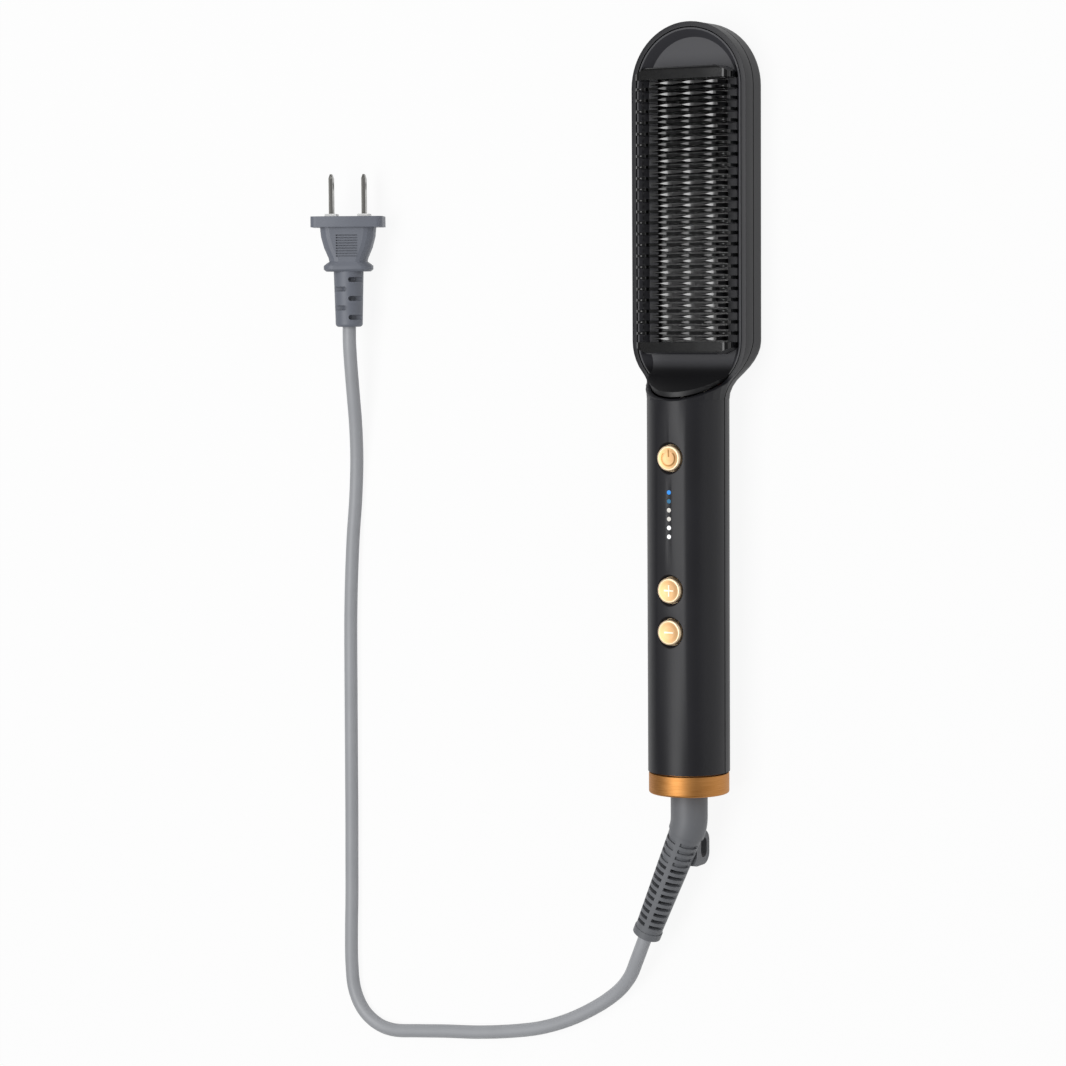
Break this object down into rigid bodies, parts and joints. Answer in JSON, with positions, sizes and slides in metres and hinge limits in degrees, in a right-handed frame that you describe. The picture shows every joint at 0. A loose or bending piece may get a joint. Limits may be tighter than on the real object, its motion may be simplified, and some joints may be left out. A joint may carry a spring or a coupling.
{
  "type": "hair straightening brush",
  "caption": "Heated hair straightening brush: long oval head with heated ribs between cool guard bars, round handle with push buttons, mains cord on a swivel.",
  "frame": {"origin": "under the middle of the brush, on the plane it lies on, cord left out", "axes": "+Y towards the head's tip, +Z out of the comb side, +X to the right seen from the comb side"},
  "size_m": [0.1885, 0.3906, 0.0305],
  "materials": {
    "rear_shell": "satin charcoal moulding",
    "front_shell": "satin charcoal moulding",
    "comb_guard": "gloss black moulding",
    "heated_comb": "gloss black ceramic coat",
    "insulating_films": "amber film",
    "heater_electrodes": "stamped sheet",
    "ptc_tablets": "fired grey ceramic",
    "heater_clamp": "pressed sheet",
    "heat_shield": "mica sheet",
    "comb_screws": "zinc plated",
    "shell_screws": "zinc plated",
    "thermal_fuse": "glazed body",
    "temperature_sensor": "glass bead",
    "sensor_lead": "insulated wire",
    "heater_leads": "insulated wire",
    "circuit_board": "green solder mask",
    "board_screws": "zinc plated",
    "tact_switches": "moulded",
    "indicator_leds": "lamp body",
    "light_guide": "clear moulding",
    "control_chip": "moulded",
    "triac": "moulded",
    "capacitor": "moulded",
    "mains_leads": "insulated wire",
    "end_collar": "brushed gold",
    "swivel_bush": "moulded",
    "contact_block": "moulded",
    "contact_springs": "spring strip",
    "power_button": "gold key cap",
    "power_plunger": "moulded",
    "plus_button": "gold key cap",
    "plus_plunger": "moulded",
    "minus_button": "gold key cap",
    "minus_plunger": "moulded",
    "swivel_spool": "moulded",
    "slip_rings": "turned ring",
    "strain_relief": "soft grey moulding",
    "power_cord": "soft grey sheath",
    "plug_body": "grey moulding",
    "plug_blades": "stamped blade",
    "blade_collars": "white insert"
  },
  "bodies": {
    "brush": {"rear_shell": "rear_shell", "front_shell": "front_shell", "comb_guard": "comb_guard", "heated_comb": "heated_comb", "insulating_films": "insulating_films", "heater_electrodes": "heater_electrodes", "ptc_tablets": "ptc_tablets", "heater_clamp": "heater_clamp", "heat_shield": "heat_shield", "comb_screws": "comb_screws", "shell_screws": "shell_screws", "thermal_fuse": "thermal_fuse", "temperature_sensor": "temperature_sensor", "sensor_lead": "sensor_lead", "heater_leads": "heater_leads", "circuit_board": "circuit_board", "board_screws": "board_screws", "tact_switches": "tact_switches", "indicator_leds": "indicator_leds", "light_guide": "light_guide", "control_chip": "control_chip", "triac": "triac", "capacitor": "capacitor", "mains_leads": "mains_leads", "end_collar": "end_collar", "swivel_bush": "swivel_bush", "contact_block": "contact_block", "contact_springs": "contact_springs"},
    "power_key": {"power_button": "power_button", "power_plunger": "power_plunger"},
    "plus_key": {"plus_button": "plus_button", "plus_plunger": "plus_plunger"},
    "minus_key": {"minus_button": "minus_button", "minus_plunger": "minus_plunger"},
    "cord_tail": {"swivel_spool": "swivel_spool", "slip_rings": "slip_rings", "strain_relief": "strain_relief", "power_cord": "power_cord", "plug_body": "plug_body", "plug_blades": "plug_blades", "blade_collars": "blade_collars"}
  },
  "joints": [
    {"name": "power_press", "type": "slide", "parent": "brush", "child": "power_key", "axis": [0, 0, -1], "range_m": [0, 0.0004], "stiffness_N_per_m": 800, "springref_m": -0.001},
    {"name": "plus_press", "type": "slide", "parent": "brush", "child": "plus_key", "axis": [0, 0, -1], "range_m": [0, 0.0004], "stiffness_N_per_m": 800, "springref_m": -0.001},
    {"name": "minus_press", "type": "slide", "parent": "brush", "child": "minus_key", "axis": [0, 0, -1], "range_m": [0, 0.0004], "stiffness_N_per_m": 800, "springref_m": -0.001},
    {"name": "cord_swivel", "type": "hinge", "parent": "brush", "child": "cord_tail", "pos_m": [0, -0.135, 0.015], "axis": [0, 1, 0], "continuous": true}
  ]
}
